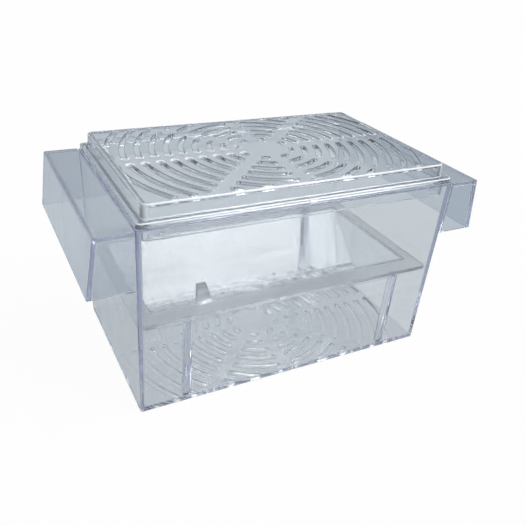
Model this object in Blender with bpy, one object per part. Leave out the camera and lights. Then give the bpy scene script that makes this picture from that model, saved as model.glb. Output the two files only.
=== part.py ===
"""Floating fish breeding box in clear polystyrene.

A drafted tank with a slotted floor carries an open-bottomed float on each end. A fry trap, a flat
rim with a V trough and a slit along its bottom, hangs on four ribs inside the tank. A lid with a
raised slotted panel plugs into the rim.

Metres, +Z up. The origin is the centre of the tank's underside. +X runs along the tank, and the
front wall faces -Y.
"""

import math

import bmesh
import bpy

# Tank
TANK_LENGTH = 0.160  # outside, at the rim
TANK_DEPTH = 0.100  # outside, at the rim
RIM_HEIGHT = 0.0955
WALL = 0.002
FLOOR = 0.002
END_DRAFT = 0.0002  # lean of an end wall, from the rim down to the floor
FACE_DRAFT = 0.0037  # lean of the front and back walls
TANK_CORNER = 0.0012

# Slotted field of the floor and of the lid
SLOT_WIDTH = 0.0026
FIRST_RING = 0.0133  # radius of the inmost ring of slots
RING_PITCH = 0.0069
RING_COUNT = 10
SPOKE_WIDTH = 0.0056  # solid bar between the slots of two sectors
SECTORS_PER_QUARTER = 2
FIELD_MARGIN = 0.0003  # from the walls to the slots, which they cut off

# Ribs that carry the fry trap
RIB_TOP = 0.0457
RIB_WIDTH = 0.0036
RIB_REACH = 0.0030
RIB_FROM_END = 0.0232  # from the outside of the end wall to the middle of the rib

# Floats
FLOAT_REACH = 0.0167  # from the end wall, at the top
FLOAT_FLARE = 0.0038  # how much further the bottom reaches
FLOAT_HEIGHT = 0.0278
FLOAT_WALL = 0.002
FLOAT_CORNER = 0.0012

# Fry trap
TRAP_RIM = 0.0020
TRAP_RIM_SIDE = 0.0105  # width of the rim along the front and back
TRAP_RIM_END = 0.0067  # width of the rim at the ends
TRAP_CORNER = 0.0020
TRAP_CLEARANCE = 0.0004
TROUGH_DEPTH = 0.0237  # from the top of the rim to the slit
TROUGH_WALL = 0.0018
TROUGH_END_DRAFT = 0.0038
SLIT_WIDTH = 0.0030
TAB_HEIGHT = 0.0105
TAB_FOOT = 0.0078
TAB_TOP = 0.0045
TAB_THICKNESS = 0.0024
TAB_FROM_END = 0.0278  # from the end of the trap's rim to the tab
TAB_INSET = 0.0004  # from the mouth of the trough to the tab

# Lid
FLANGE = 0.0026
FLANGE_INSET = 0.0006  # from the outside of the tank
FLANGE_CORNER = 0.0024
PANEL_RISE = 0.0064  # from the top of the flange to the top of the panel
PANEL_INSET = 0.0031  # from the edge of the flange to the side of the panel
PANEL_DRAFT = 0.0003
PANEL_CORNER = 0.0030
PANEL_EDGE = 0.0008  # rounding along the panel's top edge
PANEL = 0.0020
SKIRT_DROP = 0.0062
SKIRT = 0.0016
SKIRT_CLEARANCE = 0.0008
NUB_RADIUS = 0.0013
NUB_REACH = 0.0004
NUB_FROM_END = 0.0086  # from the end of the skirt
NUB_FROM_BOTTOM = 0.0020  # from the bottom of the skirt
GATE_WIDTH = 0.0045  # cut-off stub of the sprue on the front of the flange
GATE_HEIGHT = 0.0018
GATE_REACH = 0.0005

# Fits and cuts
SEAT_GAP = 0.0003  # between two pieces that touch
OVERRUN = 0.001  # how far a cutter runs past what it cuts

# Rounding
CORNER_STEPS = 3
SLOT_END_STEPS = 4
NUB_SIDES = 12
NUB_RINGS = 8
ARC_STEP = math.radians(7.5)

CLEAR_PLASTIC = (0.80, 0.86, 0.93, 1.0)
PLASTIC_ROUGHNESS = 0.06
PLASTIC_TRANSMISSION = 0.9
POLYSTYRENE_IOR = 1.59
SMOOTH_ANGLE = math.radians(30)
WELD = 0.00001


def empty_scene():
    """Remove what the scene holds and return the parts' and the cutters' collections."""
    for thing in list(bpy.data.objects):
        bpy.data.objects.remove(thing, do_unlink=True)
    made = []
    for name in ("fish_breeding_box", "cutters"):
        collection = bpy.data.collections.new(name)
        bpy.context.scene.collection.children.link(collection)
        made.append(collection)
    return made


def clear_plastic(name):
    """Clear polystyrene: glossy, nearly colourless, faintly blue."""
    material = bpy.data.materials.new(name)
    material.use_nodes = True
    shader = material.node_tree.nodes["Principled BSDF"]
    shader.inputs["Base Color"].default_value = CLEAR_PLASTIC
    shader.inputs["Metallic"].default_value = 0.0
    shader.inputs["Roughness"].default_value = PLASTIC_ROUGHNESS
    shader.inputs["IOR"].default_value = POLYSTYRENE_IOR
    shader.inputs["Transmission Weight"].default_value = PLASTIC_TRANSMISSION
    return material


def put(mesh, name, collection, parent=None):
    """An object for the mesh, smooth but for its sharp edges."""
    mesh.shade_smooth()
    mesh.set_sharp_from_angle(angle=SMOOTH_ANGLE)
    thing = bpy.data.objects.new(name, mesh)
    thing.parent = parent
    collection.objects.link(thing)
    if collection is CUTTERS:
        thing.display_type = "WIRE"
        thing.hide_render = True
    return thing


def block(name, bottom, top, low, high, corner=0.0, edge=0.0, collection=None, parent=None):
    """A drafted block between two rectangles, with its upright and then its top edges rounded.

    bottom and top are (left, right, front, back), at the heights low and high.
    """
    shape = bmesh.new()
    bmesh.ops.create_cube(shape, size=1.0)
    for vert in shape.verts:
        left, right, front, back = top if vert.co.z > 0 else bottom
        vert.co = (
            right if vert.co.x > 0 else left,
            back if vert.co.y > 0 else front,
            high if vert.co.z > 0 else low,
        )
    if corner:
        uprights = [e for e in shape.edges if e.verts[0].co.z != e.verts[1].co.z]
        bmesh.ops.bevel(
            shape, geom=uprights, offset=corner, segments=CORNER_STEPS, profile=0.5, affect="EDGES"
        )
    if edge:
        upper = [e for e in shape.edges if all(v.co.z > high - WELD for v in e.verts)]
        bmesh.ops.bevel(
            shape, geom=upper, offset=edge, segments=CORNER_STEPS, profile=0.5, affect="EDGES"
        )
    bmesh.ops.recalc_face_normals(shape, faces=shape.faces)
    mesh = bpy.data.meshes.new(name)
    shape.to_mesh(mesh)
    shape.free()
    return put(mesh, name, CUTTERS if collection is None else collection, parent)


def around(half_x, half_y):
    """The rectangle (left, right, front, back) about the middle."""
    return (-half_x, half_x, -half_y, half_y)


def combine(thing, other, operation):
    """A live Boolean on thing, with the exact solver."""
    step = thing.modifiers.new(other.name, "BOOLEAN")
    step.operation = operation
    step.solver = "EXACT"
    step.object = other


def tank_half_length(height):
    """Half the tank's outside length at a height."""
    return TANK_LENGTH / 2 - END_DRAFT * (1 - height / RIM_HEIGHT)


def tank_half_depth(height):
    """Half the tank's outside depth at a height."""
    return TANK_DEPTH / 2 - FACE_DRAFT * (1 - height / RIM_HEIGHT)


def slot_outline(radius, start, end):
    """The outline of one slot along a ring, from angle start to angle end, with round ends."""
    steps = max(1, math.ceil((end - start) / ARC_STEP))
    sweep = [start + (end - start) * i / steps for i in range(steps + 1)]
    half = SLOT_WIDTH / 2
    outline = [((radius + half) * math.cos(a), (radius + half) * math.sin(a)) for a in sweep]
    for i in range(1, SLOT_END_STEPS):
        turn = end + math.pi * i / SLOT_END_STEPS
        outline.append(
            (
                radius * math.cos(end) + half * math.cos(turn),
                radius * math.sin(end) + half * math.sin(turn),
            )
        )
    outline += [
        ((radius - half) * math.cos(a), (radius - half) * math.sin(a)) for a in reversed(sweep)
    ]
    for i in range(1, SLOT_END_STEPS):
        turn = start + math.pi + math.pi * i / SLOT_END_STEPS
        outline.append(
            (
                radius * math.cos(start) + half * math.cos(turn),
                radius * math.sin(start) + half * math.sin(turn),
            )
        )
    return outline


def slots_of_a_quarter(half_x, half_y):
    """The slots in the quarter where x and y are positive, less those clear of the field."""
    sector = math.pi / 2 / SECTORS_PER_QUARTER
    found = []
    for ring in range(RING_COUNT):
        radius = FIRST_RING + ring * RING_PITCH
        aside = math.asin((SPOKE_WIDTH + SLOT_WIDTH) / 2 / radius)
        for number in range(SECTORS_PER_QUARTER):
            outline = slot_outline(radius, number * sector + aside, (number + 1) * sector - aside)
            if any(x < half_x and y < half_y for x, y in outline):
                found.append(outline)
    return found


def slot_cutter(name, half_x, half_y, middle, thickness, parent=None):
    """All the slots of a field as one cutter through a plate, cut off at the field's edge.

    middle is the height of the middle of the plate.
    """
    flat = bpy.data.curves.new(name, "CURVE")
    flat.dimensions = "2D"
    flat.fill_mode = "BOTH"
    flat.extrude = thickness / 2 + OVERRUN
    for outline in slots_of_a_quarter(half_x, half_y):
        for sign_x in (1, -1):
            for sign_y in (1, -1):
                spline = flat.splines.new("POLY")
                spline.points.add(len(outline) - 1)
                for point, (x, y) in zip(spline.points, outline):
                    point.co = (sign_x * x, sign_y * y, 0.0, 1.0)
                spline.use_cyclic_u = True
    drawn = bpy.data.objects.new(name, flat)
    CUTTERS.objects.link(drawn)
    evaluated = drawn.evaluated_get(bpy.context.evaluated_depsgraph_get())
    mesh = bpy.data.meshes.new_from_object(evaluated)
    mesh.name = name
    bpy.data.objects.remove(drawn, do_unlink=True)
    shape = bmesh.new()
    shape.from_mesh(mesh)
    bmesh.ops.translate(shape, verts=shape.verts, vec=(0.0, 0.0, middle))
    bmesh.ops.remove_doubles(shape, verts=shape.verts, dist=WELD)
    bmesh.ops.recalc_face_normals(shape, faces=shape.faces)
    shape.to_mesh(mesh)
    shape.free()
    slots = put(mesh, name, CUTTERS, parent)
    reach = thickness / 2 + OVERRUN * 2
    field = block(
        name + "_field",
        around(half_x, half_y),
        around(half_x, half_y),
        middle - reach,
        middle + reach,
        parent=parent,
    )
    combine(slots, field, "INTERSECT")
    return slots


def make_tank():
    """The tank: a drafted open box, its slotted floor and the four ribs inside its long walls."""
    tank = block(
        "tank",
        around(tank_half_length(0), tank_half_depth(0)),
        around(TANK_LENGTH / 2, TANK_DEPTH / 2),
        0,
        RIM_HEIGHT,
        TANK_CORNER,
        collection=PARTS,
    )
    tank.data.materials.append(clear_plastic("tank_plastic"))
    above = RIM_HEIGHT + OVERRUN
    cavity = block(
        "tank_cavity",
        around(tank_half_length(FLOOR) - WALL, tank_half_depth(FLOOR) - WALL),
        around(tank_half_length(above) - WALL, tank_half_depth(above) - WALL),
        FLOOR,
        above,
    )
    combine(tank, cavity, "DIFFERENCE")
    slots = slot_cutter(
        "floor_slots",
        tank_half_length(0) - WALL - FIELD_MARGIN,
        tank_half_depth(0) - WALL - FIELD_MARGIN,
        FLOOR / 2,
        FLOOR,
    )
    combine(tank, slots, "DIFFERENCE")
    foot = FLOOR / 2
    for side_name, side in (("front", -1), ("back", 1)):
        for end_name, end in (("left", -1), ("right", 1)):
            middle = end * (TANK_LENGTH / 2 - RIB_FROM_END)
            spans = []
            for height in (foot, RIB_TOP):
                face = tank_half_depth(height) - WALL
                edges = sorted((side * (face - RIB_REACH), side * (face + WALL / 2)))
                spans.append((middle - RIB_WIDTH / 2, middle + RIB_WIDTH / 2, *edges))
            rib = block(f"rib_{side_name}_{end_name}", spans[0], spans[1], foot, RIB_TOP)
            combine(tank, rib, "UNION")
    return tank


def make_floats():
    """The floats: one shell, open below and towards the tank, used at both ends."""
    low = RIM_HEIGHT - FLOAT_HEIGHT
    near = TANK_LENGTH / 2 + SEAT_GAP
    far_top = TANK_LENGTH / 2 + FLOAT_REACH
    far_low = far_top + FLOAT_FLARE
    right = block(
        "right_float",
        (near, far_low, -tank_half_depth(low), tank_half_depth(low)),
        (near, far_top, -TANK_DEPTH / 2, TANK_DEPTH / 2),
        low,
        RIM_HEIGHT,
        collection=PARTS,
    )
    shape = bmesh.new()
    shape.from_mesh(right.data)
    outer = [
        e
        for e in shape.edges
        if all(v.co.x > TANK_LENGTH / 2 + FLOAT_REACH / 2 for v in e.verts)
        and e.verts[0].co.z != e.verts[1].co.z
    ]
    bmesh.ops.bevel(
        shape, geom=outer, offset=FLOAT_CORNER, segments=CORNER_STEPS, profile=0.5, affect="EDGES"
    )
    shape.to_mesh(right.data)
    shape.free()
    lean = FLOAT_FLARE / FLOAT_HEIGHT
    below = low - OVERRUN
    ceiling = RIM_HEIGHT - FLOAT_WALL
    spans = []
    for height in (below, ceiling):
        far = far_top + lean * (RIM_HEIGHT - height) - FLOAT_WALL
        deep = tank_half_depth(height) - FLOAT_WALL
        spans.append((near - OVERRUN, far, -deep, deep))
    hollow = block("float_hollow", spans[0], spans[1], below, ceiling)
    combine(right, hollow, "DIFFERENCE")
    right.data.materials.append(clear_plastic("float_plastic"))
    shell = bpy.data.meshes.new_from_object(
        right.evaluated_get(bpy.context.evaluated_depsgraph_get())
    )
    shell.name = "float_shell"
    left = put(shell, "left_float", PARTS)
    left.rotation_euler.z = math.pi
    return left, right


def make_fry_trap():
    """The fry trap: a flat rim, a V trough with a slit along its bottom, and a lifting tab."""
    seat = bpy.data.objects.new("trap_seat", None)
    seat.location.z = RIB_TOP + SEAT_GAP
    PARTS.objects.link(seat)
    half_length = tank_half_length(seat.location.z) - WALL - TRAP_CLEARANCE
    half_depth = tank_half_depth(seat.location.z) - WALL - TRAP_CLEARANCE
    outline = around(half_length, half_depth)
    trap = block(
        "fry_trap", outline, outline, 0, TRAP_RIM, TRAP_CORNER, collection=PARTS, parent=seat
    )
    trap.data.materials.append(clear_plastic("fry_trap_plastic"))
    mouth_x = half_length - TRAP_RIM_END
    mouth_y = half_depth - TRAP_RIM_SIDE
    slit = SLIT_WIDTH / 2
    lean_y = (mouth_y - slit) / TROUGH_DEPTH
    lean_x = TROUGH_END_DRAFT / TROUGH_DEPTH
    bottom = TRAP_RIM - TROUGH_DEPTH
    side = TROUGH_WALL * math.hypot(1.0, lean_y)
    end = TROUGH_WALL * math.hypot(1.0, lean_x)

    def trough(name, low, high, out_x, out_y):
        """The V between two heights, grown outwards by the walls."""
        spans = [
            around(
                mouth_x - lean_x * (TRAP_RIM - height) + out_x,
                mouth_y - lean_y * (TRAP_RIM - height) + out_y,
            )
            for height in (low, high)
        ]
        return block(name, spans[0], spans[1], low, high, parent=seat)

    combine(trap, trough("trough_outside", bottom, TRAP_RIM / 2, end, side), "UNION")
    deepest = slit / lean_y / 2
    hollow = trough("trough_hollow", bottom - deepest, TRAP_RIM + OVERRUN, 0, 0)
    combine(trap, hollow, "DIFFERENCE")
    left = TAB_FROM_END - half_length
    back = -mouth_y - TAB_INSET
    front = back - TAB_THICKNESS
    tab = block(
        "lifting_tab",
        (left, left + TAB_FOOT, front, back),
        (left, left + TAB_TOP, front, back),
        TRAP_RIM / 2,
        TRAP_RIM + TAB_HEIGHT,
        parent=seat,
    )
    combine(trap, tab, "UNION")
    return trap


def make_lid():
    """The lid: a flange on the tank's rim, a raised slotted panel and a skirt that plugs in."""
    seat = bpy.data.objects.new("lid_seat", None)
    seat.location.z = RIM_HEIGHT + SEAT_GAP
    PARTS.objects.link(seat)
    flange_x = TANK_LENGTH / 2 - FLANGE_INSET
    flange_y = TANK_DEPTH / 2 - FLANGE_INSET
    outline = around(flange_x, flange_y)
    lid = block("lid", outline, outline, 0, FLANGE, FLANGE_CORNER, collection=PARTS, parent=seat)
    lid.data.materials.append(clear_plastic("lid_plastic"))
    panel_x = flange_x - PANEL_INSET
    panel_y = flange_y - PANEL_INSET
    top = FLANGE + PANEL_RISE
    lean = PANEL_DRAFT / PANEL_RISE
    foot = FLANGE / 2
    raised = block(
        "raised_panel",
        around(panel_x + lean * (FLANGE - foot), panel_y + lean * (FLANGE - foot)),
        around(panel_x - PANEL_DRAFT, panel_y - PANEL_DRAFT),
        foot,
        top,
        PANEL_CORNER,
        PANEL_EDGE,
        parent=seat,
    )
    combine(lid, raised, "UNION")
    skirt_low = RIM_HEIGHT - SKIRT_DROP
    skirt_x = tank_half_length(skirt_low) - WALL - SKIRT_CLEARANCE
    skirt_y = tank_half_depth(skirt_low) - WALL - SKIRT_CLEARANCE
    skirt = block(
        "skirt",
        around(skirt_x, skirt_y),
        around(skirt_x, skirt_y),
        -SKIRT_DROP,
        foot,
        PANEL_CORNER,
        parent=seat,
    )
    combine(lid, skirt, "UNION")
    inner_x = panel_x - PANEL
    inner_y = panel_y - PANEL
    pocket = block(
        "skirt_inside",
        around(skirt_x - SKIRT, skirt_y - SKIRT),
        around(skirt_x - SKIRT, skirt_y - SKIRT),
        -SKIRT_DROP - OVERRUN,
        0,
        PANEL_CORNER - SKIRT,
        parent=seat,
    )
    combine(lid, pocket, "DIFFERENCE")
    hollow = block(
        "panel_inside",
        around(inner_x, inner_y),
        around(inner_x - PANEL_DRAFT, inner_y - PANEL_DRAFT),
        -SKIRT_DROP - OVERRUN,
        top - PANEL,
        PANEL_CORNER - SKIRT,
        parent=seat,
    )
    combine(lid, hollow, "DIFFERENCE")
    slots = slot_cutter(
        "lid_slots",
        inner_x - PANEL_DRAFT - FIELD_MARGIN,
        inner_y - PANEL_DRAFT - FIELD_MARGIN,
        top - PANEL / 2,
        PANEL,
        seat,
    )
    combine(lid, slots, "DIFFERENCE")
    for side in (-1, 1):
        for end in (-1, 1):
            shape = bmesh.new()
            bmesh.ops.create_uvsphere(
                shape, u_segments=NUB_SIDES, v_segments=NUB_RINGS, radius=NUB_RADIUS
            )
            mesh = bpy.data.meshes.new("nub")
            shape.to_mesh(mesh)
            shape.free()
            nub = put(mesh, "nub", CUTTERS, seat)
            nub.location = (
                end * (skirt_x - NUB_FROM_END),
                side * (skirt_y + NUB_REACH - NUB_RADIUS),
                NUB_FROM_BOTTOM - SKIRT_DROP,
            )
            combine(lid, nub, "UNION")
    stub = (-GATE_WIDTH / 2, GATE_WIDTH / 2, -flange_y - GATE_REACH, -flange_y + GATE_REACH)
    gate_low = (FLANGE - GATE_HEIGHT) / 2
    gate = block("gate_stub", stub, stub, gate_low, gate_low + GATE_HEIGHT, parent=seat)
    combine(lid, gate, "UNION")
    return lid


PARTS, CUTTERS = empty_scene()
make_tank()
make_floats()
make_fry_trap()
make_lid()
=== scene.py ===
"""Floating fish breeding box in clear polystyrene: tank, two floats, V-shaped fry trap and slotted lid."""

import bmesh
import bpy
import numpy as np
from mathutils import Matrix, Vector
from mathutils.geometry import delaunay_2d_cdt


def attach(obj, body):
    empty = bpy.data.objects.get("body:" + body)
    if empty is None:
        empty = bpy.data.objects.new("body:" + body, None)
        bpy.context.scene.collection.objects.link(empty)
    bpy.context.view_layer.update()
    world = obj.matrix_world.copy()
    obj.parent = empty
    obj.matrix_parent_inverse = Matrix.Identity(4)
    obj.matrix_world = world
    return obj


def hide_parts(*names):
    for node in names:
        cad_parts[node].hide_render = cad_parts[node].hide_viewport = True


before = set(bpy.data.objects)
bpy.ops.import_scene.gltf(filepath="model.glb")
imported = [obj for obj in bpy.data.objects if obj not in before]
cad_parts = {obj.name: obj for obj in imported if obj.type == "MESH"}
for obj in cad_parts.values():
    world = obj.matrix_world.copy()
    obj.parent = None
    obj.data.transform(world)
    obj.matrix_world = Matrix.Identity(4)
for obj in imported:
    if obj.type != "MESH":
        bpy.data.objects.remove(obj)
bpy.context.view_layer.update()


# Camera. The photograph is taken from the front left and above, with a normal lens held slightly
# askew. The place, the angle and the lens are those of the pinhole camera fitted to its edges.
CAMERA_AT = (-0.13720698, -0.25381673, 0.20338388)
CAMERA_BACK = (-0.42345521, -0.76015393, 0.49279985)
CAMERA_RIGHT = (0.88956033, -0.45180917, 0.06746033)
LENS_MM = 41.716

back = Vector(CAMERA_BACK).normalized()
right = Vector(CAMERA_RIGHT).normalized()
up = back.cross(right)
camera_data = bpy.data.cameras.new("camera")
camera_data.lens = LENS_MM
camera_data.sensor_width = 36.0
camera_data.clip_start = 0.01
camera = bpy.data.objects.new("camera", camera_data)
bpy.context.scene.collection.objects.link(camera)
camera.matrix_world = Matrix(
    (
        (right.x, up.x, back.x, CAMERA_AT[0]),
        (right.y, up.y, back.y, CAMERA_AT[1]),
        (right.z, up.z, back.z, CAMERA_AT[2]),
        (0, 0, 0, 1),
    )
)
bpy.context.scene.camera = camera


# Studio. A seamless ground, and a room with no lamps: grey-blue, darker overhead, with soft bright
# patches. The camera sees both as white. Rays that the plastic bends or mirrors see them grey-blue,
# because in the photograph the plastic reads grey-blue although the background is white.
WHITE = (1, 1, 1, 1)
GROUND_HALF = 6.0
GROUND_Z = -0.0002
GROUND_HEX = "D0D0D0"
GROUND_IN_PLASTIC = (0.57, 0.62, 0.665, 1)
GROUND_SEEN = 0.97
GROUND_SEEN_IN_PLASTIC = 0.8
ROOM_LIGHT = (0.42, 0.455, 0.49, 1)
PATCH_LIGHT = (0.8, 0.8, 0.8, 1)
CEILING_FROM = 0.5
CEILING_TO = 0.85
CEILING_SHARE = 0.25
# Each patch has an azimuth, an elevation, the reach of its core and of its rim, and a strength.
PATCHES = ((40, 46, 9, 18, 11.0), (70, 60, 10, 25, 5.8), (156, 20, 4, 16, 0.1), (213, 25, 4, 18, 1.5))
BOUNCES = 64


def linear(code, alpha=1.0):
    """An sRGB hex colour as linear RGBA: (c + 0.055) / 1.055 to the power 2.4, or c / 12.92 near black."""
    c = np.array([int(code[i : i + 2], 16) for i in (0, 2, 4)]) / 255
    c = np.where(c > 0.04045, ((c + 0.055) / 1.055) ** 2.4, c / 12.92)
    return (*c, alpha)


def add(tree, kind, inputs=None, **properties):
    """One node. An input is a value or another node's output, by the name or the place of its socket."""
    node = tree.nodes.new(kind)
    for key, value in properties.items():
        setattr(node, key, value)
    for socket, value in (inputs or {}).items():
        if isinstance(value, bpy.types.NodeSocket):
            tree.links.new(value, node.inputs[socket])
        else:
            node.inputs[socket].default_value = value
    return node


def maths(tree, operation, *terms):
    """The result of a maths node on numbers or other nodes' outputs."""
    return add(tree, "ShaderNodeMath", dict(enumerate(terms)), operation=operation).outputs[0]


def blend(tree, share, low, high):
    """The colour low where the share is 0, high where it is 1."""
    return add(tree, "ShaderNodeMix", {0: share, 6: low, 7: high}, data_type="RGBA").outputs[2]


def seen_share(tree, straight, in_plastic):
    """straight for camera rays, in_plastic for glossy and transmission rays, and 0 for all others."""
    ray = add(tree, "ShaderNodeLightPath").outputs
    bent = maths(tree, "MAXIMUM", ray["Is Glossy Ray"], ray["Is Transmission Ray"])
    shares = (
        maths(tree, "MULTIPLY", ray["Is Camera Ray"], straight),
        maths(tree, "MULTIPLY", bent, in_plastic),
    )
    return maths(tree, "MAXIMUM", *shares)


# The ground is matt and pale. Its own glow makes it even, and what is left of the matt white keeps
# the box's soft shadow.
ground_material = bpy.data.materials.new("white_ground")
ground_material.use_nodes = True
tree = ground_material.node_tree
tree.nodes.clear()
camera_ray = add(tree, "ShaderNodeLightPath").outputs["Is Camera Ray"]
glow_colour = blend(tree, camera_ray, GROUND_IN_PLASTIC, WHITE)
lit = add(tree, "ShaderNodeBsdfDiffuse", {"Color": linear(GROUND_HEX)})
glow = add(tree, "ShaderNodeEmission", {"Color": glow_colour, "Strength": 1.0})
glow_share = seen_share(tree, GROUND_SEEN, GROUND_SEEN_IN_PLASTIC)
mixed = add(tree, "ShaderNodeMixShader", {0: glow_share, 1: lit.outputs[0], 2: glow.outputs[0]})
add(tree, "ShaderNodeOutputMaterial", {"Surface": mixed.outputs[0]})

ground_mesh = bpy.data.meshes.new("ground")
plan = ((-1, -1), (1, -1), (1, 1), (-1, 1))
ground_corners = [(x * GROUND_HALF, y * GROUND_HALF, GROUND_Z) for x, y in plan]
ground_mesh.from_pydata(ground_corners, [], [(0, 1, 2, 3)])
ground_mesh.materials.append(ground_material)
ground = bpy.data.objects.new("ground", ground_mesh)
bpy.context.scene.collection.objects.link(ground)

world = bpy.data.worlds.new("studio")
bpy.context.scene.world = world
world.use_nodes = True
tree = world.node_tree
tree.nodes.clear()
direction = add(tree, "ShaderNodeTexCoord").outputs["Generated"]


def smooth_step(value, start, end, low, high):
    """low where the value is under start, high where it is over end, and a smooth step between."""
    inputs = {"Value": value, "From Min": start, "From Max": end, "To Min": low, "To Max": high}
    return add(tree, "ShaderNodeMapRange", inputs, interpolation_type="SMOOTHSTEP").outputs["Result"]


def glowing_patch(azimuth, elevation, core, rim, strength):
    """A soft round patch of the room: strength within core degrees of its middle, 0 beyond rim.
    Azimuth turns from the front to the right, in degrees."""
    turn, rise = np.radians((azimuth, elevation))
    towards = (np.sin(turn) * np.cos(rise), -np.cos(turn) * np.cos(rise), np.sin(rise))
    dot = add(tree, "ShaderNodeVectorMath", {0: direction, 1: towards}, operation="DOT_PRODUCT")
    return smooth_step(dot.outputs["Value"], np.cos(np.radians(rim)), np.cos(np.radians(core)), 0, strength)


height = add(tree, "ShaderNodeSeparateXYZ", {0: direction}).outputs["Z"]
dimming = smooth_step(height, CEILING_FROM, CEILING_TO, 1.0, CEILING_SHARE)
glowing = 0.0
for patch in PATCHES:
    glowing = maths(tree, "ADD", glowing, glowing_patch(*patch))
even = add(tree, "ShaderNodeBackground", {"Color": ROOM_LIGHT, "Strength": dimming})
patches = add(tree, "ShaderNodeBackground", {"Color": PATCH_LIGHT, "Strength": glowing})
both = add(tree, "ShaderNodeAddShader", {0: even.outputs[0], 1: patches.outputs[0]})
seen = add(tree, "ShaderNodeBackground", {"Color": WHITE, "Strength": 1.0})
mixed = add(
    tree, "ShaderNodeMixShader",
    {0: seen_share(tree, 1.0, 0.0), 1: both.outputs[0], 2: seen.outputs[0]},
)
add(tree, "ShaderNodeOutputWorld", {"Surface": mixed.outputs[0]})

bpy.context.scene.view_settings.view_transform = "Standard"
bpy.context.scene.cycles.max_bounces = BOUNCES
bpy.context.scene.cycles.transmission_bounces = BOUNCES
bpy.context.scene.cycles.glossy_bounces = BOUNCES


# Tank. One moulding of clear crystal polystyrene, injected into a polished mould through the middle
# of its floor: four drafted walls, a flat floor with arc-shaped slots, and four upright ribs inside
# the long walls that carry the fry trap.
RIM = 0.0955
TANK_TOP = (0.0800, 0.0500)
TANK_FOOT = (0.0798, 0.0463)
TANK_WALL = 0.0020
TANK_FLOOR = 0.0020
TANK_CORNER = 0.0012
TANK_INNER_CORNER = 0.0006
TANK_FILLET = 0.0004
RIB_AT = 0.0568
RIB_HALF = 0.0019
RIB_REACH = 0.0030
RIB_TOP = 0.0457
# A rib's outline, as shares of its half width and of its reach, and its rounded top, as drops below
# its top and the shares of its reach there.
RIB_OUTLINE = (
    (-1.1, 0), (-1.0, 0.08), (-0.92, 0.9), (-0.75, 1), (0.75, 1), (0.92, 0.9), (1.0, 0.08), (1.1, 0),
)
RIB_ROUNDING = ((0, 0.88), (0.0001, 0.97), (0.00035, 1))
SLOT_HALF = 0.0013
SLOT_RINGS = 0.0133 + 0.0069 * np.arange(10)
SLOT_SIDE = 22
SLOT_CAP = 7
SHORTEST_SLOT = 0.0015
SPOKE_HALF = 0.0028
FLOOR_FIELD = (0.0768, 0.0434)

# Plastic. The haze and the flow of the melt are given by the size of their pattern.
POLYSTYRENE_IOR = 1.59
EDGE_HEX = "6470CC"
HAZE_SIZE = 0.009
HAZE_ROUGHNESS = 0.03
FLOW_SIZE = 0.022
FLOW_DEPTH = 0.0003
FLOW_STRENGTH = 0.35
# The colour and roughness of the painted highlights, and the extra roughness of the painted shade and of the
# frost.
PAINTED_GLINT_COLOUR = (0.95, 0.97, 1, 1)
PAINTED_GLINT_ROUGHNESS = 0.35
SHADE_AND_FROST_ROUGHNESS = 0.3


def clear_polystyrene(name, tint, density=3.6, roughness=0.03, shade_and_frost_hex="808890"):
    """Crystal polystyrene, clear as glass, so that the eye gets the room bent and mirrored in it. The
    plastic's own colour shows only over a long way through, as blue-violet edges. A fine haze and the
    waves left by the flow of the melt soften and sway the reflections. Two values on the mesh's points
    change it. The first paints a highlight: it makes the plastic pale, rougher and less clear where an
    edge would catch the light. The second tints it with the colour given for it and roughens it: that
    is painted shade on the lid's dark lips and lines, and real frosting on the trap's rim."""
    material = bpy.data.materials.new(name)
    material.use_nodes = True
    tree = material.node_tree
    tree.nodes.clear()
    painted_glint = add(tree, "ShaderNodeAttribute", attribute_name="painted_glint").outputs["Fac"]
    cut = add(tree, "ShaderNodeAttribute", attribute_name="cut").outputs["Fac"]
    colour = blend(tree, painted_glint, blend(tree, cut, linear(tint), linear(shade_and_frost_hex)), PAINTED_GLINT_COLOUR)
    place = add(tree, "ShaderNodeTexCoord").outputs["Object"]
    haze = add(tree, "ShaderNodeTexNoise", {"Vector": place, "Scale": 1 / HAZE_SIZE, "Detail": 3.0})
    flow = add(tree, "ShaderNodeTexNoise", {"Vector": place, "Scale": 1 / FLOW_SIZE, "Detail": 1.0})
    waves = add(
        tree, "ShaderNodeBump",
        {"Height": flow.outputs["Fac"], "Strength": FLOW_STRENGTH, "Distance": FLOW_DEPTH},
    )
    rough = add(
        tree, "ShaderNodeMapRange",
        {"Value": painted_glint, "To Min": roughness, "To Max": PAINTED_GLINT_ROUGHNESS},
    )
    rough = maths(tree, "MULTIPLY_ADD", cut, SHADE_AND_FROST_ROUGHNESS, rough.outputs["Result"])
    rough = maths(tree, "MULTIPLY_ADD", haze.outputs["Fac"], HAZE_ROUGHNESS, rough)
    shader = add(
        tree, "ShaderNodeBsdfPrincipled",
        {
            "Base Color": colour,
            "Roughness": rough,
            "Normal": waves.outputs["Normal"],
            "Transmission Weight": maths(tree, "SUBTRACT", 1.0, painted_glint),
            "IOR": POLYSTYRENE_IOR,
        },
    )
    depth = add(tree, "ShaderNodeVolumeAbsorption", {"Color": linear(EDGE_HEX), "Density": density})
    add(tree, "ShaderNodeOutputMaterial", {"Surface": shader.outputs[0], "Volume": depth.outputs[0]})
    return material


def round_off(corners, radii, steps=4):
    """A polyline with rounded corners: at a corner P it follows the quadratic Bezier curve from
    P + r a to P + r b, with a and b the unit vectors to the corners before and after."""
    path = np.array(corners, float)
    towards = path[:-2] - path[1:-1], path[2:] - path[1:-1]
    r = np.array(radii, float)[:, None]
    start, end = (path[1:-1] + r * d / np.linalg.norm(d, axis=1, keepdims=True) for d in towards)
    t = np.linspace(0, 1, steps + 1)[:, None, None]
    curve = (1 - t) ** 2 * start + 2 * t * (1 - t) * path[1:-1] + t**2 * end
    return np.concatenate([path[:1], curve.transpose(1, 0, 2).reshape(-1, path.shape[1]), path[-1:]])


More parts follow.
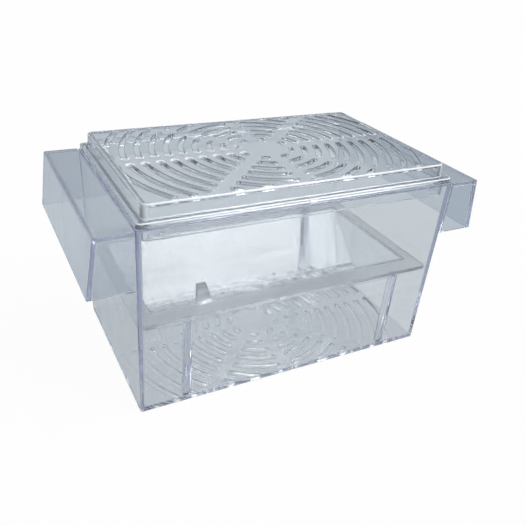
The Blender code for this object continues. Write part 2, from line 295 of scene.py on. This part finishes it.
def hoops(levels, steps=5):
    """One rounded rectangle a level, for rows of (half x, half y, corner radius, z): the corner
    centres are half a side less the radius from the middle, and a quarter circle turns about each."""
    half_x, half_y, corner, z = (levels[:, i : i + 1] for i in range(4))
    angle = (np.arange(4)[:, None] * np.pi / 2 + np.linspace(0, np.pi / 2, steps + 1)).ravel()
    side_x = np.repeat([1, -1, -1, 1], steps + 1)
    side_y = np.repeat([1, 1, -1, -1], steps + 1)
    x = side_x * (half_x - corner) + corner * np.cos(angle)
    y = side_y * (half_y - corner) + corner * np.sin(angle)
    return np.stack([x, y, np.broadcast_to(z, x.shape)], -1)


def spread(values, rings):
    """A value a level, or one for each point of a level, given to every point of the rings."""
    values = np.array(values, float)
    values = values.reshape(values.shape + (1,) * (rings.ndim - 1 - values.ndim))
    return np.broadcast_to(values, rings.shape[:-1]).ravel()


def skin(rings, painted_glint=0, cut=0):
    """Four-sided faces between each ring of points and the next, closed round the ring. A face is
    flat where it is both long and tall, or tall and in line with its neighbours, and else smooth."""
    count, around = rings.shape[:2]
    index = np.arange(count * around).reshape(count, around)
    ahead = np.roll(index, -1, axis=1)
    faces = np.stack([index[:-1], ahead[:-1], ahead[1:], index[1:]], -1).reshape(-1, 4)
    along = np.roll(rings, -1, axis=1) - rings
    rise = rings[1:] - rings[:-1]
    long = np.linalg.norm(along, axis=2)[:-1] > 0.003
    tall = np.linalg.norm(rise, axis=2) > 0.001
    facing = np.cross(along[:-1] + along[1:], rise + np.roll(rise, -1, axis=1))
    facing /= np.linalg.norm(facing, axis=2, keepdims=True) + 1e-12
    level = [np.sum(facing * np.roll(facing, step, axis=1), axis=2) > 0.99999 for step in (1, -1)]
    smooth = ~(tall & (long | level[0] & level[1])).ravel()
    return rings.reshape(-1, 3), faces.tolist(), smooth, spread(painted_glint, rings), spread(cut, rings)


def slot_rings(field, levels):
    """The slots as rings of points, one ring a level, for rows of (offset, z). Each is an arc of a
    circle about the middle, half a slot wide to each side, that ends in a half circle beside a
    spoke, or square where it meets the edge of the field. Angles at the edge y = Y are asin(Y / r),
    and at x = X acos(X / r). A ring runs along the outer side, round the last end, back along the
    inner side and round the first end."""
    offset, z = (np.array(levels)[:, i][:, None, None] for i in range(2))
    half = SLOT_HALF + offset
    edge_x, edge_y = field[0] + offset, field[1] + offset
    middle = np.repeat(SLOT_RINGS, 2)[None, :, None]
    sector = np.tile([0, np.pi / 4], len(SLOT_RINGS))[None, :, None]
    aside = np.arcsin((SPOKE_HALF + SLOT_HALF) / middle)
    first, last = sector + aside, sector + np.pi / 4 - aside
    cut_last = middle * np.sin(last) > field[1]
    cut_first = middle * np.cos(first) > field[0]

    def side(radius):
        """Angles along one side of every slot, from its first end to its last."""
        high = np.where(cut_last, np.arcsin(np.clip(edge_y / radius, -1, 1)), last)
        low = np.where(cut_first, np.arccos(np.clip(edge_x / radius, -1, 1)), first)
        low = np.maximum(low, first)
        return low + (high - low) * np.linspace(0, 1, SLOT_SIDE)

    def ends(angle, turn, outer, inner, cut):
        """A half circle about the end of the slot, or a straight cut from side to side."""
        share = np.linspace(0, 1, SLOT_CAP + 2)[1:-1]
        swing = turn + np.pi * share
        arc = middle * np.exp(1j * angle) + half * np.exp(1j * swing)
        return np.where(cut, outer + (inner - outer) * share, arc)

    outer = (middle + half) * np.exp(1j * side(middle + half))
    inner = (middle - half) * np.exp(1j * side(middle - half))
    after = ends(last, last, outer[..., -1:], inner[..., -1:], cut_last)
    before = ends(first, first + np.pi, inner[..., :1], outer[..., :1], cut_first)
    ring = np.concatenate([outer, after, inner[..., ::-1], before], axis=-1)
    x = np.minimum(ring.real, edge_x)
    y = np.minimum(ring.imag, edge_y)
    angles = side(middle)[0]
    kept = (angles[:, -1] - angles[:, 0]) * middle[0, :, 0] > SHORTEST_SLOT
    kept &= SLOT_RINGS.repeat(2) * np.sin(first[0, :, 0]) < field[1]
    quarter = np.stack([x, y, np.broadcast_to(z, x.shape)], -1)[:, kept]
    mirrors = np.array([(1, 1, 1), (-1, 1, 1), (-1, -1, 1), (1, -1, 1)])
    whole = quarter[:, None] * mirrors[None, :, None, None]
    return whole.reshape(len(levels), -1, *quarter.shape[2:])


def slot_walls(rings, painted_glint=0, cut=0):
    """The walls of all the slots, each slot's rings skinned level by level, and flat where two
    levels are at one height."""
    count, slots, around = rings.shape[:3]
    index = np.arange(count * slots * around).reshape(count, slots, around)
    ahead = np.roll(index, -1, axis=2)
    faces = np.stack([index[:-1], ahead[:-1], ahead[1:], index[1:]], -1).reshape(-1, 4)
    smooth = (rings[1:, ..., 2] != rings[:-1, ..., 2]).ravel()
    return rings.reshape(-1, 3), faces.tolist(), smooth, spread(painted_glint, rings), spread(cut, rings)


def slotted_plate(outline, slots):
    """The flat between an outline and the slots in it, as constrained Delaunay triangles."""
    flat = np.concatenate([outline, slots.reshape(-1, 3)])
    rings = [list(range(len(outline)))]
    starts = len(outline) + slots.shape[1] * np.arange(len(slots))
    rings += (starts[:, None] + np.arange(slots.shape[1])).tolist()
    found = delaunay_2d_cdt([Vector(p) for p in flat[:, :2].tolist()], [], rings, 2, 1e-7)
    points, faces = np.array(found[0]), found[2]
    points = np.column_stack([points, np.full(len(points), flat[0, 2])])
    return points, faces, np.zeros(len(faces), bool), np.zeros(len(points)), np.zeros(len(points))


def moulding(name, surfaces, material):
    """One closed mesh of the surfaces, with their seams merged and its faces turned outwards. A
    surface is its points, its faces, which faces are smooth, and at each point its painted highlight
    and its value of painted shade and frost."""
    shifts = np.cumsum([0] + [len(s[0]) for s in surfaces])
    points = np.concatenate([s[0] for s in surfaces])
    faces = [[i + shift for i in face] for s, shift in zip(surfaces, shifts) for face in s[1]]
    mesh = bpy.data.meshes.new(name)
    mesh.from_pydata(points, [], faces)
    mesh.polygons.foreach_set("use_smooth", np.concatenate([s[2] for s in surfaces]))
    mesh.materials.append(material)
    for key, column in (("painted_glint", 3), ("cut", 4)):
        values = mesh.attributes.new(key, "FLOAT", "POINT").data
        values.foreach_set("value", np.concatenate([s[column] for s in surfaces]))
    shape = bmesh.new()
    shape.from_mesh(mesh)
    bmesh.ops.remove_doubles(shape, verts=shape.verts, dist=1e-6)
    bmesh.ops.recalc_face_normals(shape, faces=shape.faces)
    shape.to_mesh(mesh)
    shape.free()
    piece = bpy.data.objects.new(name, mesh)
    bpy.context.scene.collection.objects.link(piece)
    return piece


def tank_wall(height, inset, corner):
    """The tank's half sides at a height, less an inset: they widen evenly from the foot to the rim."""
    share = height / RIM
    half = [low + (high - low) * share - inset for low, high in zip(TANK_FOOT, TANK_TOP)]
    return (*half, corner, height)


def with_ribs(levels, swell):
    """The hoops of the levels, with the ribs' outline let into the two long sides. It stands out
    from the wall by the rib's reach times swell, one number a level."""
    across, inward = np.array(RIB_OUTLINE).T
    x = (np.array([-RIB_AT, RIB_AT])[:, None] + RIB_HALF * across).ravel() + 0 * levels[:, :1]
    y = np.tile(RIB_REACH * inward, 2) * np.array(swell)[:, None] - levels[:, 1:2]
    front = np.stack([x, y, levels[:, 3:] + 0 * x], -1)
    back_side = front[:, ::-1] * (1, -1, 1)
    corner = np.split(hoops(levels), 4, axis=1)
    return np.concatenate([corner[0], back_side, corner[1], corner[2], front, corner[3]], axis=1)


rim_middle = tank_wall(RIM, TANK_WALL / 2, 0.0008)
above_floor = tank_wall(TANK_FLOOR + TANK_FILLET, TANK_WALL, TANK_INNER_CORNER)
outside = round_off(
    [tank_wall(0, 0.0009, 0.0006), tank_wall(0, 0, TANK_CORNER), tank_wall(RIM, 0, TANK_CORNER), rim_middle],
    [0.0006, 0.0005],
)
brim = round_off(
    [
        rim_middle,
        tank_wall(RIM, TANK_WALL, TANK_INNER_CORNER),
        tank_wall(RIB_TOP, TANK_WALL, TANK_INNER_CORNER),
    ],
    [0.0005],
)
beside_ribs = [tank_wall(RIB_TOP - drop, TANK_WALL, TANK_INNER_CORNER) for drop, _ in RIB_ROUNDING]
foot = round_off(
    [
        above_floor,
        tank_wall(TANK_FLOOR, TANK_WALL, TANK_INNER_CORNER),
        tank_wall(TANK_FLOOR, TANK_WALL + 0.0003, TANK_INNER_CORNER),
    ],
    [0.0003],
)
levels = np.concatenate([outside, brim, beside_ribs, [above_floor], foot])
swell = [0] * (len(outside) + len(brim)) + [share for _, share in RIB_ROUNDING] + [1] + [0] * len(foot)
walls = with_ribs(levels, swell)
slots = slot_rings(
    FLOOR_FIELD,
    round_off(
        [(TANK_FILLET, TANK_FLOOR), (0, TANK_FLOOR), (0, 0), (0.0002, 0)],
        [TANK_FILLET, 0.0002], 3,
    ),
)
# The clearest of the four plastics, so that the trap and both slotted panels show through its walls,
# with the deepest blue-violet along its edges.
tank_material = clear_polystyrene("clear_tank_polystyrene", "FDFEFE")
tank = moulding(
    "tank_moulding",
    [
        skin(walls),
        slot_walls(slots),
        slotted_plate(walls[0], slots[-1]),
        slotted_plate(walls[-1], slots[0]),
    ],
    tank_material,
)
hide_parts("tank")
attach(tank, "tank_body")


# Floats. Two alike, moulded in clear polystyrene and cemented to the tank's end walls: a top, an
# outer wall that leans out towards its foot, a front and a back. They are open below and towards the
# tank, and hold the air that keeps the box afloat.
FLOAT_NEAR = 0.0803
FLOAT_FAR = (0.1005, 0.0967)
FLOAT_LOW = 0.0677
FLOAT_WALL = 0.0020
FLOAT_EDGE = 0.0006
# Faces by their corners: 0 to 3 run round the foot of the outside and 4 to 7 round its top, and
# those of the inside follow in the same order.
FLOAT_FACES = [(0, 1, 5, 4), (1, 2, 6, 5), (2, 3, 7, 6), (4, 5, 6, 7)]
FLOAT_RIMS = [(0, 1, 9, 8), (1, 2, 10, 9), (2, 3, 11, 10), (0, 8, 12, 4), (4, 12, 15, 7), (7, 15, 11, 3)]


def float_corners(inset):
    """The eight corners of a float's outside or, with the wall as the inset, those of its inside."""
    corners = []
    for height in (FLOAT_LOW, RIM - inset):
        down = (RIM - height) / (RIM - FLOAT_LOW)
        far = FLOAT_FAR[1] + (FLOAT_FAR[0] - FLOAT_FAR[1]) * down - inset
        deep = tank_wall(height, inset, 0)[1]
        plan = ((FLOAT_NEAR, -deep), (far, -deep), (far, deep), (FLOAT_NEAR, deep))
        corners += [(x, y, height) for x, y in plan]
    return corners


inner_faces = [[i + 8 for i in face] for face in FLOAT_FACES]
float_faces = FLOAT_FACES + inner_faces + FLOAT_RIMS
float_points = np.array(float_corners(0) + float_corners(FLOAT_WALL))
plain = np.zeros(len(float_points))
float_surface = (float_points, float_faces, np.ones(len(float_faces), bool), plain, plain)
# Greyer than the tank, a painted shade, so that the floats read as darker blocks at its ends.
float_material = clear_polystyrene("clear_float_polystyrene", "E4E9EE")
for name, turn in (("right_float", 0), ("left_float", np.pi)):
    shell = moulding(name + "_shell", [float_surface], float_material)
    shell.data.transform(Matrix.Rotation(turn, 4, "Z"))
    rounding = shell.modifiers.new("edges", "BEVEL")
    rounding.width = FLOAT_EDGE
    rounding.segments = 4
    rounding.limit_method = "ANGLE"
    rounding.harden_normals = True
    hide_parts(name)
    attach(shell, "tank_body")


# Fry trap. A separate clear moulding that hangs on the ribs: a flat rim round a V-shaped trough with
# a slit along its bottom, through which the fry drop, and a small tab to lift it by.
TRAP_TOP = 0.0480
TRAP_UNDER = 0.0460
TRAP_OUTSIDE = (0.0775, 0.04568, 0.0020)
TRAP_RIM_MIDDLE = (0.0742, 0.0404, 0.0020)
TRAP_MOUTH = (0.0708, 0.03518, 0.0015)
TRAP_SLIT = (0.0670, 0.0015, 0.0004)
TRAP_BOTTOM_OUTSIDE = (0.0688, 0.0046, 0.0010)
TRAP_SHOULDER = (0.0723, 0.0355, 0.0020)
TRAP_BOTTOM = 0.0243
TRAP_FROST = 0.55
TAB_Y = (-0.0380, -0.0356)
TAB_XZ = ((-0.0497, 0.0470), (-0.0419, 0.0470), (-0.0452, 0.0585), (-0.0497, 0.0585))


def lump(name, material, corners=None, ball=None, edge=0.0003, painted_glint=0):
    """A small solid: the hull of its corners with rounded edges, or a ball of (centre, radius)."""
    shape = bmesh.new()
    if ball:
        bmesh.ops.create_uvsphere(
            shape, u_segments=20, v_segments=12, radius=ball[1], matrix=Matrix.Translation(ball[0])
        )
    else:
        for corner in corners:
            shape.verts.new(corner)
        bmesh.ops.convex_hull(shape, input=shape.verts)
        bmesh.ops.dissolve_limit(shape, angle_limit=0.01, verts=shape.verts, edges=shape.edges)
        bmesh.ops.bevel(shape, geom=shape.edges, offset=edge, segments=3, affect="EDGES", profile=0.5)
    for face in shape.faces:
        face.smooth = True
    mesh = bpy.data.meshes.new(name)
    shape.to_mesh(mesh)
    shape.free()
    mesh.materials.append(material)
    values = mesh.attributes.new("painted_glint", "FLOAT", "POINT").data
    values.foreach_set("value", np.full(len(mesh.vertices), painted_glint))
    piece = bpy.data.objects.new(name, mesh)
    bpy.context.scene.collection.objects.link(piece)
    return piece


def unite(piece, *others):
    """The piece joined with small solids that overlap it, so that light passes between them."""
    for other in others:
        join = piece.modifiers.new("join", "BOOLEAN")
        join.operation = "UNION"
        join.object = other
    shape = bpy.data.meshes.new_from_object(piece.evaluated_get(bpy.context.evaluated_depsgraph_get()))
    piece.modifiers.clear()
    piece.data = shape
    for other in others:
        bpy.data.objects.remove(other)


trap_loop = round_off(
    [
        (*TRAP_RIM_MIDDLE, TRAP_TOP),
        (*TRAP_MOUTH, TRAP_TOP),
        (*TRAP_SLIT, TRAP_BOTTOM),
        (*TRAP_BOTTOM_OUTSIDE, TRAP_BOTTOM),
        (*TRAP_SHOULDER, TRAP_UNDER),
        (*TRAP_OUTSIDE, TRAP_UNDER),
        (*TRAP_OUTSIDE, TRAP_TOP),
        (*TRAP_RIM_MIDDLE, TRAP_TOP),
    ],
    [0.0003, 0.0003, 0.0003, 0.0003, 0.0002, 0.0002],
)
loop_z = trap_loop[:, 3]
on_rim = (loop_z > TRAP_TOP - 0.00012) | (np.abs(loop_z - TRAP_UNDER) < 1e-6)
# Nearly without the blue. Its slopes are clear, and its rim is finely frosted, so that the eye gets
# an even pale band across the tank.
trap_material = clear_polystyrene(
    "clear_trap_polystyrene", "FBFCFD", density=0.6, roughness=0.05, shade_and_frost_hex="FFFFFF"
)
trap = moulding(
    "trap_moulding", [skin(hoops(trap_loop), cut=np.where(on_rim, TRAP_FROST, 0))], trap_material
)
# The tab carries a faint painted highlight that makes it paler.
tab_corners = [(x, y, z) for y in TAB_Y for x, z in TAB_XZ]
unite(trap, lump("tab", trap_material, tab_corners, painted_glint=0.3))
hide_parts("fry_trap")
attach(trap, "fry_trap_body")


# Lid. One clear moulding: a flange that lies on the tank's rim, a raised panel with the same slots
# as the floor, and a skirt that plugs into the tank, centred by four small nubs. The stub of the
# moulding gate stands on the flange's front, and an oval mark is raised round the left nub.
SEAT = 0.0958
LID_TOP = 0.1048
LID_UNDER = 0.1028
LID_FIELD = (0.0732, 0.0432)
FLANGE_TOP = 0.0984
FLANGE_OUTSIDE = (0.0794, 0.0494, 0.0024)
PANEL_FOOT = (0.0763, 0.0463, 0.0030)
SKIRT_END = 0.0896
SKIRT_INSIDE = (0.0756, 0.04536, 0.0014)
SKIRT_OUTSIDE = (0.0772, 0.04696, 0.0030)
SLOT_LIP = 0.0006
NUB_X = 0.0686
NUB_Y = SKIRT_OUTSIDE[1] - 0.0009
NUB_Z = 0.0916
NUB_RADIUS = 0.0013
GATE_X = (-0.00225, 0.00225)
GATE_Y = (-0.04985, -0.0488)
GATE_Z = (0.0962, 0.0980)
MARK_AT = (-NUB_X, -SKIRT_OUTSIDE[1] - 0.0001, 0.0925)
MARK_HALF = (0.0058, 0.0030)
MARK_BEAD = 0.00022

lid_levels = round_off(
    [
        (0.0736, 0.0436, 0.0011, LID_UNDER),
        (0.0740, 0.0440, 0.0014, LID_UNDER),
        (0.0743, 0.0443, 0.0014, SEAT),
        (*SKIRT_INSIDE, SEAT),
        (*SKIRT_INSIDE, SKIRT_END),
        (*SKIRT_OUTSIDE, SKIRT_END),
        (*SKIRT_OUTSIDE, SEAT),
        (*FLANGE_OUTSIDE, SEAT),
        (*FLANGE_OUTSIDE, FLANGE_TOP),
        (*PANEL_FOOT, FLANGE_TOP),
        (0.0760, 0.0460, 0.0030, LID_TOP),
        (0.0744, 0.0444, 0.0014, LID_TOP),
    ],
    [0.0004, 0.0003, 0.0003, 0.0002, 0.00012, 0.0002, 0.0004, 0.0006, 0.0005, 0.0010],
)
shell = hoops(lid_levels)

# Painted highlights on the edges that catch the light: the panel's top edge, the flange's, the
# panel's foot and, on the corner arcs, its sides. Painted shade on the skirt's end face, for the thin
# dark line along it.
half_y, z = lid_levels[:, 1], lid_levels[:, 3]
outer = half_y > 0.0455
top_edge = (z > LID_TOP - 0.0007) & (z < LID_TOP - 1e-6)
flange_edge = (z > FLANGE_TOP - 0.0005) & (z < FLANGE_TOP) & (half_y > 0.0488)
panel_foot = (z > FLANGE_TOP) & (z < FLANGE_TOP + 0.0004) & outer
panel_side = (z > FLANGE_TOP + 0.0002) & (z < LID_TOP - 0.0007) & outer
level_painted_glint = np.select([top_edge, flange_edge, panel_foot], [0.8, 0.9, 0.5], 0)
shell_painted_glint = np.repeat(level_painted_glint[:, None], shell.shape[1], axis=1)
on_corner_arc = np.arange(shell.shape[1]) % 6 % 5 > 0
shell_painted_glint[np.ix_(panel_side, on_corner_arc)] = 0.45
shell_painted_shade = np.where(z < SKIRT_END + 0.00008, 1.0, 0)

# The slots' lips are painted in shade, for their dark lines, and painted highlights lie as pale
# crescents on the panel round the ends that lie nearest the left and right spokes, for the sparkle
# there. The front right quarter has none.
slots = slot_rings(
    LID_FIELD,
    np.concatenate([
        [(0.0011, LID_TOP)],
        round_off(
            [(0.0007, LID_TOP), (0, LID_TOP), (0, LID_TOP - SLOT_LIP), (0, LID_UNDER), (0.00015, LID_UNDER)],
            [0.00015, 0.00005, 0.00015], 2,
        ),
    ]),
)
around = 2 * (SLOT_SIDE + SLOT_CAP)
last_end = np.arange(SLOT_SIDE - 1, SLOT_SIDE + SLOT_CAP + 1)
first_end = np.arange(around - SLOT_CAP - 1, around + 1) % around
ends = np.concatenate([last_end, first_end])
x, y = slots[1:-2, :, ends, 0], slots[1:-2, :, ends, 1]
beside_spoke = np.cos(np.arctan2(y, x)) ** 8
slot_painted_glint = np.zeros(slots.shape[:-1])
slot_painted_glint[1:-2, :, ends] = np.where((y > 0) | (x < 0), 0.9 * beside_spoke, 0)
slot_painted_shade = np.zeros(slots.shape[:-1])
slot_painted_shade[3:6] = 0.8
slot_painted_shade[:, :, last_end[0] - 1 : last_end[-1] + 2] = 0
slot_painted_shade[:, :, first_end[0] - 1 :] = 0

# Thin and pale, without blue, so that the lid reads as grey glass drawn with white and dark lines.
lid_material = clear_polystyrene("clear_lid_polystyrene", "F3F6F8", density=0.8)
lid = moulding(
    "lid_moulding",
    [
        skin(shell, shell_painted_glint, shell_painted_shade),
        slot_walls(slots, slot_painted_glint, slot_painted_shade),
        slotted_plate(shell[-1], slots[0]),
        slotted_plate(shell[0], slots[-1]),
    ],
    lid_material,
)
# The nubs and the gate stub carry painted highlights, as bright dots on them.
nub_places = [(x, y, NUB_Z) for x in (-NUB_X, NUB_X) for y in (-NUB_Y, NUB_Y)]
nubs = [
    lump(f"nub_{i}", lid_material, ball=(place, NUB_RADIUS), painted_glint=0.7)
    for i, place in enumerate(nub_places)
]
gate_corners = [(x, y, z) for x in GATE_X for y in GATE_Y for z in GATE_Z]
gate = lump("gate", lid_material, gate_corners, painted_glint=0.4)
# The oval mark is a bead painted in shade all over, for its dark outline.
turn = np.linspace(0, 2 * np.pi, 49)[:-1]
bead = np.linspace(0, 2 * np.pi, 9)[:, None]
mark_rings = np.stack(
    [
        MARK_AT[0] + (MARK_HALF[0] + MARK_BEAD * np.cos(bead)) * np.cos(turn),
        MARK_AT[1] + MARK_BEAD * np.sin(bead) + 0 * turn,
        MARK_AT[2] + (MARK_HALF[1] + MARK_BEAD * np.cos(bead)) * np.sin(turn),
    ],
    -1,
)
mark = moulding("mark", [skin(mark_rings, cut=1.0)], lid_material)
unite(lid, *nubs, gate, mark)
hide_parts("lid")
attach(lid, "lid_body")
